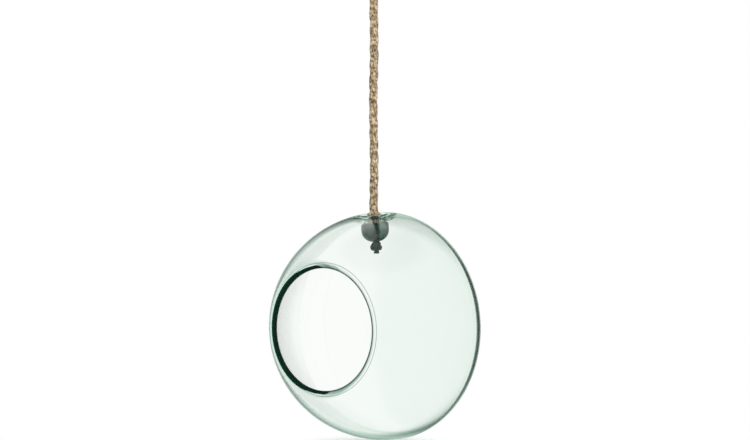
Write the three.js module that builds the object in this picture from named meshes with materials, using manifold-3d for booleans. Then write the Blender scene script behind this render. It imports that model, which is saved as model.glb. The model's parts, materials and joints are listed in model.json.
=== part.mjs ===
import * as THREE from 'three';
import { mergeVertices } from 'three/addons/utils/BufferGeometryUtils.js';
import Module from 'manifold-3d';

// Hanging planter: a clear glass globe with a round mouth in its side. It hangs on a jute rope that
// enters through a hole drilled in its top and is held inside by a bead and a knot.
// Millimetres, +Z up. The origin is where a hook bears, inside the crown of the hanging loop.
// The rope hangs down the Z axis, and the mouth faces -Y.

const CLEARANCE = 0.3;

// Glass globe: turned about the mouth's axis, with a round front and a flattened back.
// Its wall is thicker round the hole, where a tapered collar is flat underneath
const GLOBE_RADIUS = 104;
const FRONT_REACH = 108;
const BACK_DEPTH = 36;
const SIDE_WALL = 3.8;
const FRONT_WALL = 2.6;
const BACK_WALL = 4;
const MOUTH_RADIUS = 59;
const RIM_BEVEL = 0.4;
const HOLE_PLAY = 2.5;
const HOLE_WALL = 8.2;
const COLLAR_RADIUS = 15;
const COLLAR_SPREAD = 2;
const FRONT_RINGS = 8;
const BACK_RINGS = 11;
const GLOBE_SIDES = 60;
const HOLE_SIDES = 32;
const BALANCE_SLICES = 2000;

// Bead that carries the globe, with its nearly flat crown under the hole
const BEAD_RADIUS = 12.55;
const BEAD_CROWN = 6;
const BEAD_FOOT = 11.4;
const BEAD_CROWN_FULLNESS = 7;
const BEAD_FOOT_FULLNESS = 2.3;
const BEAD_BORE_BEVEL = 0.4;
const BEAD_RINGS = 8;
const BEAD_SIDES = 32;

// Jute rope of three strands, and the one strand that goes on through the bead
const ROPE_DIAMETER = 8;
const STRAND_DIAMETER = 4;
const ROPE_END_GAP = 0.9;
const ROPE_END_PROUD = 1.7;
const ROPE_END_DEPTH = 4;
const ROPE_SIDES = 12;
const STRAND_SIDES = 8;

// Length of one step along a cord, in its diameters
const STRAIGHT_STEP = 2;
const CURVED_STEP = 0.6;

// Right half of the hanging loop, from crown to leg: reach outside the leg's line, drop below the crown
const LOOP_REACH_AND_DROP = [
  [4, -1.2], [9.8, -5.2], [13.3, -11], [14.5, -18], [13.2, -25],
  [10.2, -32], [6.4, -39], [2.8, -46], [0.6, -53], [0, -60],
];

// Rope below the loop's knot, top to bottom, nearly straight: sway in x and y, drop
const ROPE_ROUTE = [
  [0, 0, 0], [0, 0, -13], [0.2, 0.1, -26], [0.4, 0.1, -39], [0.5, 0, -52], [0.4, -0.2, -65],
  [0.1, -0.3, -78], [-0.2, -0.3, -91], [-0.4, -0.1, -104], [-0.4, 0.1, -117], [-0.2, 0.3, -130],
  [0.1, 0.3, -143], [0.3, 0.2, -156], [0.2, 0, -169], [0, 0, -182], [0, 0, -195],
];

// Rope's free end behind the loop's knot: distance from the knot's side, rise
const LOOP_TAIL_ROUTE = [[0, 0], [5, 0.2], [10, -0.6], [15, -2.2], [19, -4.4]];

// Knots, as the outer shape of the tied rope
const LOOP_KNOT_RADIUS = 12.5;
const LOOP_KNOT_HEIGHT = 20;
const LOOP_KNOT_FULLNESS = 2.6;
const STOP_KNOT_RADIUS = 5.35;
const STOP_KNOT_CROWN = 4.2;
const STOP_KNOT_FOOT = 2.6;
const STOP_KNOT_FULLNESS = 2.2;
const TAIL_LENGTH = 4;
const TAIL_SPREAD = 1;
const KNOT_RINGS = 6;
const KNOT_SIDES = 24;

const ropeRadius = ROPE_DIAMETER / 2;
const strandRadius = STRAND_DIAMETER / 2;
const holeRadius = ropeRadius + HOLE_PLAY;

const glassGreen = new THREE.MeshStandardMaterial({
  color: 0xd3e6de, roughness: 0.03, metalness: 0, transparent: true, opacity: 0.35,
});
const beadGreen = new THREE.MeshStandardMaterial({ color: 0x56695f, roughness: 0.3, metalness: 0 });
const juteTan = new THREE.MeshStandardMaterial({ color: 0xb89668, roughness: 0.9, metalness: 0 });
const dippedGreen = new THREE.MeshStandardMaterial({ color: 0x2d4238, roughness: 0.6, metalness: 0 });

const wasm = await Module();
wasm.setup();

function toSolid(geometry) {
  const bare = geometry.clone();
  bare.deleteAttribute('normal');
  bare.deleteAttribute('uv');
  const merged = mergeVertices(bare, 1e-4);
  return new wasm.Manifold(new wasm.Mesh({
    numProp: 3,
    vertProperties: Float32Array.from(merged.attributes.position.array),
    triVerts: Uint32Array.from(merged.index.array),
  }));
}

function toGeometry(solid) {
  const mesh = solid.getMesh();
  const geometry = new THREE.BufferGeometry();
  geometry.setAttribute('position', new THREE.BufferAttribute(mesh.vertProperties, 3));
  geometry.setIndex(new THREE.BufferAttribute(mesh.triVerts, 1));
  geometry.computeVertexNormals();
  return geometry;
}

// Lathe about Z. The profile runs upwards on the outside: [radius, height]
function turned(profile, sides) {
  const points = profile.map(([radius, height]) => new THREE.Vector2(radius, height));
  return new THREE.LatheGeometry(points, sides).rotateX(Math.PI / 2);
}

// Height above or below the widest ring of a body with full shoulders, where it has the given radius
function shoulderHeight(radius, widest, reach, fullness) {
  return reach * (1 - (radius / widest) ** fullness) ** (1 / fullness);
}

// Outside of such a body from its foot to its crown, starting and ending at the bore's radius
function shoulderProfile(widest, crown, foot, crownFullness, footFullness, bore, rings) {
  const profile = [];
  for (let ring = -rings; ring <= rings; ring += 1) {
    const fullness = ring < 0 ? footFullness : crownFullness;
    const angle = Math.acos((bore / widest) ** (fullness / 2)) * ring / rings;
    const isEnd = Math.abs(ring) === rings;
    const radius = isEnd ? bore : widest * Math.cos(angle) ** (2 / fullness);
    const rise = Math.abs(Math.sin(angle)) ** (2 / fullness);
    profile.push([radius, ring < 0 ? -foot * rise : crown * rise]);
  }
  return profile;
}

function part(name, geometry, material) {
  const mesh = new THREE.Mesh(geometry, material);
  mesh.name = name;
  return mesh;
}

// Plain round cord along a route, with a rounded end where it flexes against what holds it
function cord(route, radius, sides, stepDiameters, roundedEnds) {
  const section = new THREE.Shape();
  for (let side = 0; side < sides; side += 1) {
    const angle = 2 * Math.PI * side / sides;
    const [x, y] = [radius * Math.cos(angle), radius * Math.sin(angle)];
    if (side === 0) section.moveTo(x, y);
    else section.lineTo(x, y);
  }
  const path = new THREE.CatmullRomCurve3(route);
  const steps = Math.ceil(path.getLength() / (stepDiameters * 2 * radius));
  const tube = new THREE.ExtrudeGeometry(section, { steps, extrudePath: path, bevelEnabled: false });
  let solid = toSolid(tube);
  for (const end of roundedEnds) {
    const ball = new THREE.SphereGeometry(radius, sides, sides / 2).rotateX(Math.PI / 2);
    solid = solid.add(toSolid(ball.translate(end.x, end.y, end.z)));
  }
  return toGeometry(solid);
}

// Globe's meridian: radius of the outer or inner surface at u, measured from the widest ring to the mouth
function meridian(radius, front, back) {
  return (u) => radius * Math.sqrt(Math.max(0, 1 - (u / (u > 0 ? front : back)) ** 2));
}

const innerRadius = GLOBE_RADIUS - SIDE_WALL;
const innerFront = FRONT_REACH - FRONT_WALL;
const innerBack = BACK_DEPTH - BACK_WALL;
const outerAt = meridian(GLOBE_RADIUS, FRONT_REACH, BACK_DEPTH);
const innerAt = meridian(innerRadius, innerFront, innerBack);
const mouthReach = FRONT_REACH * Math.sqrt(1 - (MOUTH_RADIUS / GLOBE_RADIUS) ** 2);

// The hole is drilled above the glass's centre of mass, so that the mouth faces level
function balancePoint(slices) {
  let mass = 0;
  let moment = 0;
  for (let slice = 0; slice < slices; slice += 1) {
    const u = -BACK_DEPTH + (mouthReach + BACK_DEPTH) * (slice + 0.5) / slices;
    const inside = u > -innerBack ? innerAt(u) : 0;
    const ring = outerAt(u) ** 2 - inside ** 2;
    mass += ring;
    moment += ring * u;
  }
  return moment / mass;
}

const holeReach = balancePoint(BALANCE_SLICES);
const holeTilt = Math.atan2(holeReach / FRONT_REACH ** 2, outerAt(holeReach) / GLOBE_RADIUS ** 2);

// Heights along the hole's axis, from the hole's outer edge down
const seatHeight = -HOLE_WALL - CLEARANCE;
const boreRadius = strandRadius + CLEARANCE;
const boreMouthRadius = boreRadius + BEAD_BORE_BEVEL;
const beadMiddle = seatHeight - shoulderHeight(holeRadius, BEAD_RADIUS, BEAD_CROWN, BEAD_CROWN_FULLNESS);
const beadTop = beadMiddle + shoulderHeight(boreMouthRadius, BEAD_RADIUS, BEAD_CROWN, BEAD_CROWN_FULLNESS);
const beadBottom = beadMiddle - shoulderHeight(boreMouthRadius, BEAD_RADIUS, BEAD_FOOT, BEAD_FOOT_FULLNESS);
const stopKnotMiddle = beadBottom - CLEARANCE - STOP_KNOT_CROWN;
const stopKnotBottom = stopKnotMiddle - STOP_KNOT_FOOT;
const tailTop = stopKnotBottom - CLEARANCE;
const ropeEndRadius = holeRadius - ROPE_END_GAP;
const ropeEndFootRadius = ropeEndRadius - ROPE_END_DEPTH * Math.tan(holeTilt);
const strandTop = -ROPE_END_DEPTH - CLEARANCE - strandRadius * Math.sin(holeTilt);

// Heights in the planter's own frame, from the hook down
const crownHeight = ropeRadius;
const legOffset = ropeRadius + CLEARANCE;
const legEnd = crownHeight + LOOP_REACH_AND_DROP.at(-1)[1];
const loopKnotTop = legEnd - ropeRadius - CLEARANCE;
const loopKnotMiddle = loopKnotTop - LOOP_KNOT_HEIGHT / 2;
const ropeTop = loopKnotTop - LOOP_KNOT_HEIGHT - CLEARANCE - ropeRadius;
const ropeBottom = ropeTop + ROPE_ROUTE.at(-1)[2];
const holeHeight = ropeBottom - CLEARANCE - ROPE_END_PROUD;
const globeHeight = holeHeight - outerAt(holeReach);

function hangingLoop() {
  const right = LOOP_REACH_AND_DROP.map(([reach, drop]) => [legOffset + reach, crownHeight + drop]);
  const left = right.map(([x, z]) => [-x, z]).reverse();
  const route = [...left, [0, crownHeight], ...right].map(([x, z]) => new THREE.Vector3(x, 0, z));
  return cord(route, ropeRadius, ROPE_SIDES, CURVED_STEP, [route[0], route.at(-1)]);
}

function loopKnot() {
  const half = LOOP_KNOT_HEIGHT / 2;
  const profile = shoulderProfile(
    LOOP_KNOT_RADIUS, half, half, LOOP_KNOT_FULLNESS, LOOP_KNOT_FULLNESS, 0, KNOT_RINGS,
  );
  return turned(profile, KNOT_SIDES);
}

function loopTail() {
  const start = LOOP_KNOT_RADIUS + CLEARANCE;
  const route = LOOP_TAIL_ROUTE.map(([out, rise]) => new THREE.Vector3(0, start + out, rise));
  return cord(route, ropeRadius, ROPE_SIDES, CURVED_STEP, []);
}

function rope() {
  const route = ROPE_ROUTE.map((point) => new THREE.Vector3(...point));
  return cord(route, ropeRadius, ROPE_SIDES, STRAIGHT_STEP, [route[0]]);
}

// Two of the rope's strands end here, splayed in the hole above the bead. Their foot is drawn in, because
// the hole leans and they hang straight
function ropeEnd() {
  return turned([
    [0, -ROPE_END_DEPTH], [ropeEndFootRadius, -ROPE_END_DEPTH], [ropeEndRadius, -ROPE_END_PROUD],
    [ropeRadius, ROPE_END_PROUD], [0, ROPE_END_PROUD],
  ], KNOT_SIDES);
}

// Rings of the globe's meridian from the back's centre nearly to the mouth: [radius, reach]
function meridianRings(radius, front, back) {
  const backRings = Array.from({ length: BACK_RINGS }, (_, ring) => {
    const angle = Math.PI / 2 * (1 - ring / BACK_RINGS);
    return [ring === 0 ? 0 : radius * Math.cos(angle), -back * Math.sin(angle)];
  });
  const mouthAngle = Math.asin(mouthReach / front);
  const frontRings = Array.from({ length: FRONT_RINGS }, (_, ring) => {
    const angle = mouthAngle * ring / FRONT_RINGS;
    return [radius * Math.cos(angle), front * Math.sin(angle)];
  });
  return [...backRings, ...frontRings];
}

function globeSolid(profile) {
  const round = turned(profile, GLOBE_SIDES).rotateX(Math.PI / 2);
  return toSolid(round.translate(0, holeReach, globeHeight));
}

function globeShell() {
  const outside = meridianRings(GLOBE_RADIUS, FRONT_REACH, BACK_DEPTH);
  const inside = meridianRings(innerRadius, innerFront, innerBack);
  const bevelReach = mouthReach - RIM_BEVEL;
  const rim = [
    [outerAt(bevelReach), bevelReach], [MOUTH_RADIUS - RIM_BEVEL, mouthReach],
    [innerAt(mouthReach) + RIM_BEVEL, mouthReach], [innerAt(bevelReach), bevelReach],
  ];
  return globeSolid([...outside, ...rim, ...inside.reverse()]);
}

// Cylinder or cone about the hole's axis, as far above the hole's outer edge as below it
function aboutHole(footRadius, topRadius, height) {
  const cone = new THREE.CylinderGeometry(topRadius, footRadius, height, HOLE_SIDES);
  return toSolid(cone.rotateX(Math.PI / 2 + holeTilt).translate(0, 0, holeHeight));
}

// Thicker glass round the hole, from halfway through the wall down to the bead's seat
function holeCollar() {
  const rings = meridianRings(
    GLOBE_RADIUS - SIDE_WALL / 2, FRONT_REACH - FRONT_WALL / 2, BACK_DEPTH - BACK_WALL / 2,
  );
  const body = globeSolid([...rings, [0, rings.at(-1)[1]]]);
  const height = 2 * HOLE_WALL;
  return body.intersect(aboutHole(COLLAR_RADIUS, COLLAR_RADIUS + COLLAR_SPREAD * height, height));
}

function glassGlobe() {
  const hole = aboutHole(holeRadius, holeRadius, 4 * HOLE_WALL);
  return toGeometry(globeShell().add(holeCollar()).subtract(hole));
}

function stopBead() {
  const outside = shoulderProfile(
    BEAD_RADIUS, BEAD_CROWN, BEAD_FOOT, BEAD_CROWN_FULLNESS, BEAD_FOOT_FULLNESS, boreMouthRadius, BEAD_RINGS,
  );
  const bore = [
    [boreRadius, beadTop - beadMiddle - BEAD_BORE_BEVEL],
    [boreRadius, beadBottom - beadMiddle + BEAD_BORE_BEVEL],
  ];
  return turned([...outside, ...bore, outside[0]], BEAD_SIDES);
}

function coreStrand() {
  return cord([
    new THREE.Vector3(0, 0, strandTop), new THREE.Vector3(0, 0, beadBottom),
  ], strandRadius, STRAND_SIDES, STRAIGHT_STEP, []);
}

function stopKnot() {
  const profile = shoulderProfile(
    STOP_KNOT_RADIUS, STOP_KNOT_CROWN, STOP_KNOT_FOOT, STOP_KNOT_FULLNESS, STOP_KNOT_FULLNESS, 0, KNOT_RINGS,
  );
  return turned(profile, KNOT_SIDES);
}

function strandTail() {
  return turned([
    [0, -TAIL_LENGTH], [strandRadius + TAIL_SPREAD, -TAIL_LENGTH],
    [strandRadius, 0], [0, 0],
  ], KNOT_SIDES);
}

const planter = new THREE.Group();
planter.add(part('hanging_loop', hangingLoop(), juteTan));

const knotGroup = new THREE.Group();
knotGroup.position.z = loopKnotMiddle;
knotGroup.add(part('loop_knot', loopKnot(), juteTan), part('loop_tail', loopTail(), juteTan));
planter.add(knotGroup);

const mainRope = part('rope', rope(), juteTan);
mainRope.position.z = ropeTop;
const splayedEnd = part('rope_end', ropeEnd(), juteTan);
splayedEnd.position.z = holeHeight;
planter.add(mainRope, splayedEnd);

planter.add(part('glass_globe', glassGlobe(), glassGreen));

// The bead, and what holds it, follow the hole's axis
const seat = new THREE.Group();
seat.position.z = holeHeight;
seat.rotation.x = holeTilt;
const bead = part('stop_bead', stopBead(), beadGreen);
bead.position.z = beadMiddle;
const knot = part('stop_knot', stopKnot(), dippedGreen);
knot.position.z = stopKnotMiddle;
const tail = part('strand_tail', strandTail(), dippedGreen);
tail.position.z = tailTop;
seat.add(bead, part('core_strand', coreStrand(), dippedGreen), knot, tail);
planter.add(seat);

export default planter;
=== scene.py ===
"""Looks of the hanging planter: a blown glass globe, the bead that carries it, and its jute rope.

Metres, +Z up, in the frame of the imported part: a hook bears at the origin, the rope hangs down the Z axis
and the globe's mouth faces -Y.
"""

import json
import math

import bpy
import numpy as np
from mathutils import Matrix, Vector, noise


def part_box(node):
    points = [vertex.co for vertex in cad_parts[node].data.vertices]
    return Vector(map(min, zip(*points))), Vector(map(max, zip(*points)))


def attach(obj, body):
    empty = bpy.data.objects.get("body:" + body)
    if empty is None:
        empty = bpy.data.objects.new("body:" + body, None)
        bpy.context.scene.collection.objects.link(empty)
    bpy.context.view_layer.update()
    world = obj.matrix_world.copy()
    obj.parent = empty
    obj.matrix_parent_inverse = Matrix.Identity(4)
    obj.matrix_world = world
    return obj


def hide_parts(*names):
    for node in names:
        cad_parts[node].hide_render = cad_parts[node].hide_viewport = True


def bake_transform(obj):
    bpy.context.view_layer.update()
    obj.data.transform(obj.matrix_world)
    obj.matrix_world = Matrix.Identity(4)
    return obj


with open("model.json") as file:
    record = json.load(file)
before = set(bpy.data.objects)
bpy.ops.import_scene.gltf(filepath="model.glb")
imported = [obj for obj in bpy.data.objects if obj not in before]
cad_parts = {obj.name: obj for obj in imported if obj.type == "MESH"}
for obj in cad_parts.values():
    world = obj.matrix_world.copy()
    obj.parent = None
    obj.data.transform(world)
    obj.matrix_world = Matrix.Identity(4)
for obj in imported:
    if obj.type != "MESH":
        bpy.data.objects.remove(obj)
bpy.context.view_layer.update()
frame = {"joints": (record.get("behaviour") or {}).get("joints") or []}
joint_height = {joint["name"]: joint["pos_m"][2] for joint in frame["joints"] if "pos_m" in joint}
scene = bpy.context.scene

# Glass globe: its depth behind the widest ring, its mouth and its wall, how finely it is turned, and the
# angle in degrees from which an edge is sharp
BACK_DEPTH = 0.036
MOUTH_RADIUS = 0.059
SIDE_WALL = 0.0038
FRONT_WALL = 0.0026
BACK_WALL = 0.004
GLOBE_STEPS = 240
BACK_RINGS = 44
FRONT_RINGS = 48
GLOBE_CREASE = 25

# Rim: rounding of its edges, and how much thicker the wall gets over how much depth behind it
OUTER_ROUNDING = 0.0085
INNER_ROUNDING = 0.0005
ROUNDING_STEPS = 6
LIP_SWELL = 0.001
LIP_DEPTH = 0.012

# Hole in the top, and the collar of thicker glass round it. The cutter reaches past the glass by a few
# chamfers or steps of its lip, and its lip follows the globe's slope a few hole radii out
HOLE_RADIUS = 0.0065
HOLE_WALL = 0.0082
HOLE_LIP = 0.006
HOLE_STEPS = 96
SEAT_CHAMFER = 0.0006
CUTTER_REACH = 4
LIP_GUIDE = 3
COLLAR_RADIUS = 0.015
COLLAR_SPREAD = 2
COLLAR_ROUNDING = 0.006

# Bead: reach of its crown and foot from its widest ring, and how square their shoulders are
BEAD_RADIUS = 0.01255
BEAD_CROWN = 0.006
BEAD_FOOT = 0.0114
CROWN_FULLNESS = 7
FOOT_FULLNESS = 2.3
SEAT_GAP = 0.0003
BORE_RADIUS = 0.0023
BORE_BEVEL = 0.0004
BORE_RECESS = 0.0012
BEAD_RINGS = 28
BEAD_STEPS = 72
BEAD_CREASE = 35

# Jute rope of three strands, each of which shows an arc of its skin: pitch of the lay, turns of the fibres in
# one pitch, and the overlap of two stretches in stations
ROPE_RADIUS = 0.004
LAY_PITCH = 0.047
STRANDS = 3
STRAND_SHARE = 0.66
STRAND_ARC = math.radians(87)
ARC_FADE = math.radians(25)
ARC_POINTS = 25
FIBRE_TURNS = 2.1
FIBRE_SHIFT = 1.73
ROPE_STEP = 0.0007
OVERLAP = 2

# Yarns of a strand and how far they stand out, and how it swells and strays: shares of its size, wavelengths
YARNS = 5
YARN_RISE = 0.13
YARN_SINK = 0.08
SWELL = 0.06
SWELL_LENGTH = 0.011
STRAY = 0.03
STRAY_LENGTH = 0.017
DRIFT_LENGTH = 0.02

# Smooth noise: distance between its rows, the layer they lie in, its strength, and the rows in use
NOISE_ROW = 7.31
NOISE_LAYER = 2.17
NOISE_GAIN = 1.6
DRIFT_ROW = 10
STRAY_ROW = 20
LONE_ROW = 31

# Loose hairs on the rope, its loop and its hitch: how many, how long at most, and a seed
ROPE_HAIRS = (420, 0.0034, 3)
LOOP_HAIRS = (240, 0.006, 5)
HITCH_HAIRS = (200, 0.006, 7)

# Each hair: its shape, how far it lies along the cord, stands out and goes astray, its length as a share of
# the longest, and the part of the fibre pattern that it takes its tone from
HAIR_RADIUS = 0.00005
HAIR_STEPS = 4
HAIR_SIDES = 3
HAIR_TAPER = 0.75
HAIR_CURL = 0.3
HAIR_ALONG = 0.8
HAIR_OUT = (0.25, 0.9)
HAIR_ASTRAY = 0.25
HAIR_SHORTEST = 0.2
HAIR_FALLOFF = 1.7
HAIR_SHADES = 9

# The one strand that goes on through the bead, with its own yarns and twist
STRAND_RADIUS = 0.00195
STRAND_SIDES = 24
STRAND_STEP = 0.0003
STRAND_TWIST = 0.013
LONE_YARNS = 4
LONE_YARN_RISE = 0.14
LONE_YARN_SINK = 0.09
LONE_SWELL = 0.05
LONE_SWELL_LENGTH = 0.005
STRAND_GAP = 0.0004
STRAND_END = 0.0006

# Its overhand knot, from the bead's foot down to its neck: degrees about the axis, waves to a turn, and radii
# by share of the length
KNOT_DROP = 0.0042
NECK_DROP = 0.0073
KNOT_RISE = 0.0017
KNOT_REACH = 0.0024
KNOT_LOBE = 0.0006
KNOT_LEAN = 0.7
KNOT_DEGREES = range(60, 661, 20)
KNOT_WAVES = 1.5
KNOT_LEAD_IN = [(0, 0, 0.0008), (0.0004, 0.0004, -0.0008)]
KNOT_LEAD_OUT = [(0.0003, -0.0004, 0.0009), (0, 0, -0.0002)]
KNOT_RADII = [(0, 0.0019), (0.15, 0.0025), (0.85, 0.0025), (1, 0.0018)]

# Its frayed end: how far each yarn leans out and hangs down
TAIL_YARNS = [(0.0016, 0.0034), (0.0026, 0.0037), (0.002, 0.0036), (0.0028, 0.0033), (0.0017, 0.0037)]
TAIL_TURN = 0.4
TAIL_TOP = 0.0008
TAIL_SPREAD = (0.0006, 0.0009)
TAIL_BEND = 0.0016
TAIL_RADII = [(0, 0.001), (0.6, 0.00095), (1, 0.0006)]

# Glass of the globe, with painted shade on its rim: a dark ring at the inner edge and a dark line at the
# outer edge. Their distances from the mouth's axis, and depths behind the rim's plane over which both fade
GLASS_IOR = 1.5
GLASS_TINT = (0.5, 0.77, 0.55)
GLASS_DENSITY = 25.0
RIM_DEPTH = (0.0006, 0.0012)
SHADED_RING = (0.0553, 0.0562)
SHADED_RING_TONE = (0.1, 0.14, 0.125)
SHADED_RIM_LINE = (0.0586, 0.0591, 0.0596)
SHADED_RIM_LINE_TONE = (0.08, 0.12, 0.1)

# Glass of the bead, with painted shade from foot to crown, and the scale, range and strength of its
# cloudiness
SHADED_BEAD_FOOT = (0.0, 0.045, 0.02)
LIT_BEAD_CROWN = (0.03, 0.15, 0.10)
BEAD_ROUGHNESS = 0.3
BEAD_TRANSMISSION = 0.85
CLOUD_SCALE = 420.0
CLOUD_RANGE = (0.35, 0.65)
CLOUD_SHARE = 0.18

# Jute: pale, middle and dark fibres, its tone where glass mirrors it, and the noise at which one tone goes
# over into the next
JUTE_TONES = ((0.66, 0.51, 0.34), (0.32, 0.225, 0.138), (0.10, 0.062, 0.034))
DIPPED_TONES = ((0.02, 0.09, 0.06), (0.004, 0.03, 0.018), (0.001, 0.007, 0.0045))
MIRRORED_ROPE = (0.012, 0.03, 0.023)
DARK_TO_MIDDLE = (0.41, 0.5)
MIDDLE_TO_PALE = (0.5, 0.58)
FIBRE_SCALE = (17, 6, 1)
BLOTCH_SCALE = (4.5, 15, 1)
FIBRE_BUMP = 0.8
FIBRE_HEIGHT = 0.0004
JUTE_SPECULAR = 0.2

# Camera: angle about the rope from straight in front of the mouth, distance, height above the globe's middle
# and shift to the right
VIEW_AZIMUTH = math.radians(37.8)
CAMERA_DISTANCE = 1.997
CAMERA_RISE = 0.0966
CAMERA_SIDE = 0.0011
CAMERA_LENS = 105.6
SENSOR_WIDTH = 36

# Lamp, and the height above the globe's middle that it aims at
LAMP_PLACE = (1.6, -0.6, 1.0)
LAMP_SIZE = 0.9
LAMP_WATTS = 22
LAMP_AIM = 0.1

# Studio, laid out about the camera's line of sight: half angles over which the backdrop ends, and over which
# rays through the glass stop seeing plain white
BACKDROP_EDGE = (math.radians(5), math.radians(9))
CLEAR_VIEW_EDGE = (math.radians(13), math.radians(24))
ROOM_LIGHT = (0.97, 0.98, 0.97)

# The gap between backdrop and room, by share of a turn from the left over down, right and up: its tone, and
# its reach, a half angle in degrees
GAP = [
    (0.0, (0.78, 0.97, 0.89), 30),
    (0.18, (0.74, 0.94, 0.85), 30),
    (0.27, (0.52, 0.69, 0.61), 40),
    (0.375, (0.20, 0.31, 0.26), 58),
    (0.43, (0.05, 0.10, 0.08), 60),
    (0.5, (0.03, 0.07, 0.055), 60),
    (0.57, (0.05, 0.10, 0.08), 60),
    (0.64, (0.26, 0.38, 0.32), 58),
    (0.69, (0.50, 0.62, 0.56), 57),
    (0.73, (0.55, 0.67, 0.61), 54),
    (0.76, (0.40, 0.52, 0.46), 38),
    (0.79, (0.20, 0.30, 0.25), 28),
    (0.84, (0.42, 0.54, 0.48), 24),
    (0.9, (0.72, 0.90, 0.82), 26),
    (1.0, (0.78, 0.97, 0.89), 30),
]

# Where the gap is wide it darkens towards its end, and the room follows: half angles, and shares of its reach
WIDE_GAP = (math.radians(32), math.radians(50))
GAP_END = (0.4, 0.85)
GAP_END_TONE = (0.006, 0.02, 0.014)
GAP_END_SHARE = 0.8
ROOM_EDGE = (0.88, 1.25)

# A dim ceiling, by how far a direction points up, and its tone where it is mirrored
CEILING_EDGE = (0.80, 0.94)
CEILING_TONE = (0.12, 0.17, 0.15)
MIRRORED_CEILING = (0.45, 0.51, 0.48)

# A dark green screen at the left, which the rim mirrors: camera's right, up and ahead, and half angles
SCREEN_PLACE = (-0.972, 0, 0.235)
SCREEN_EDGE = (math.radians(36), math.radians(46))
SCREEN_TONE = (0.09, 0.46, 0.31)

# Floor, and the distances from under the globe between which it fades
FLOOR_GAP = 0.003
FLOOR_RADIUS = 1.2
FLOOR_STEPS = 96
FLOOR_FADE = (0.02, 0.09)
FLOOR_TONE = (0.75, 0.75, 0.75)
FLOOR_GLOW = 0.42

globe_low, globe_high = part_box("glass_globe")
globe_radius = (globe_high.x - globe_low.x) / 2
globe_height = globe_low.z + globe_radius
equator_y = globe_high.y - BACK_DEPTH
mouth_reach = equator_y - globe_low.y
front_reach = mouth_reach / math.sqrt(1 - (MOUTH_RADIUS / globe_radius) ** 2)
inner_radius = globe_radius - SIDE_WALL
inner_front = front_reach - FRONT_WALL
inner_back = BACK_DEPTH - BACK_WALL
hole_height = joint_height["globe_turn"]
hole_rise = hole_height - globe_height
hole_tilt = math.atan2(equator_y / front_reach**2, hole_rise / globe_radius**2)
seat = Matrix.Translation((0, 0, hole_height)) @ Matrix.Rotation(hole_tilt, 4, "X")
globe_place = Matrix.Translation((0, equator_y, globe_height)) @ Matrix.Rotation(math.pi / 2, 4, "X")


# Small tools


def bare_piece(name):
    """Adds a mesh object that starts as a single vertex at the origin, and goes into edit mode on it."""
    bpy.ops.object.select_all(action="DESELECT")
    bpy.ops.mesh.primitive_plane_add(size=0.001, location=(0, 0, 0))
    piece = bpy.context.object
    piece.name = piece.data.name = name
    bpy.ops.object.mode_set(mode="EDIT")
    bpy.ops.mesh.select_all(action="SELECT")
    bpy.ops.mesh.merge(type="CENTER")
    return piece


def turned(name, profile, steps):
    """Draws a profile of (radius, height) point by point and spins it about Z."""
    piece = bare_piece(name)
    bpy.ops.transform.translate(value=(profile[0][0], 0, profile[0][1]))
    for near, far in zip(profile, profile[1:]):
        move = (far[0] - near[0], 0, far[1] - near[1])
        bpy.ops.mesh.extrude_region_move(TRANSFORM_OT_translate={"value": move})
    bpy.ops.mesh.select_all(action="SELECT")
    bpy.ops.mesh.spin(steps=steps, angle=2 * math.pi, center=(0, 0, 0), axis=(0, 0, 1))
    bpy.ops.mesh.select_all(action="SELECT")
    bpy.ops.mesh.remove_doubles(threshold=1e-6)
    bpy.ops.mesh.normals_make_consistent(inside=False)
    bpy.ops.object.mode_set(mode="OBJECT")
    return piece


def settle(piece, placing):
    """Puts a piece in its place, and the place into its mesh."""
    piece.matrix_world = placing
    bpy.ops.object.transform_apply(location=True, rotation=True, scale=True)


def smooth(piece, degrees):
    """Shades a piece smooth, with sharp edges where its faces turn by more than the angle."""
    bpy.ops.object.select_all(action="DESELECT")
    piece.select_set(True)
    bpy.context.view_layer.objects.active = piece
    bpy.ops.object.shade_smooth_by_angle(angle=math.radians(degrees))


def mesh_piece(name, vertices, faces, uvs):
    """A smooth mesh piece from arrays. uvs holds one pair for each corner of each face."""
    mesh = bpy.data.meshes.new(name)
    mesh.from_pydata([tuple(v) for v in vertices], [], faces)
    layer = mesh.uv_layers.new(name="lay")
    layer.data.foreach_set("uv", np.asarray(uvs, np.float32).ravel())
    mesh.polygons.foreach_set("use_smooth", [True] * len(mesh.polygons))
    piece = bpy.data.objects.new(name, mesh)
    scene.collection.objects.link(piece)
    return piece


def dress(piece, material, slot, *nodes):
    """Gives a piece its material and hides the given CAD nodes. slot is not used."""
    piece.data.materials.clear()
    piece.data.materials.append(material)
    if nodes:
        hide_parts(*nodes)


# Materials


def add_node(tree, kind, **values):
    """Adds a node. A value is set on the input of that name, or else on the node itself."""
    node = tree.nodes.new(kind)
    for name, value in values.items():
        socket = node.inputs.get(name.replace("_", " "))
        if socket is not None:
            socket.default_value = value
        else:
            setattr(node, name, value)
    return node


def share_between(tree, value, low, high):
    """Smoothly from 0 at low to 1 at high."""
    step = add_node(tree, "ShaderNodeMapRange", interpolation_type="SMOOTHSTEP", From_Min=low, From_Max=high)
    tree.links.new(value, step.inputs["Value"])
    return step.outputs["Result"]


def maths(tree, operation, first, second):
    """A Math node on two values, each a socket or a number."""
    node = add_node(tree, "ShaderNodeMath", operation=operation)
    for socket, value in zip(node.inputs, (first, second)):
        if isinstance(value, bpy.types.NodeSocket):
            tree.links.new(value, socket)
        else:
            socket.default_value = value
    return node.outputs["Value"]


def along_axis(tree, direction, axis):
    """How far a direction points along an axis, from -1 to 1."""
    node = add_node(tree, "ShaderNodeVectorMath", operation="DOT_PRODUCT")
    tree.links.new(direction, node.inputs[0])
    node.inputs[1].default_value = axis
    return node.outputs["Value"]


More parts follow.
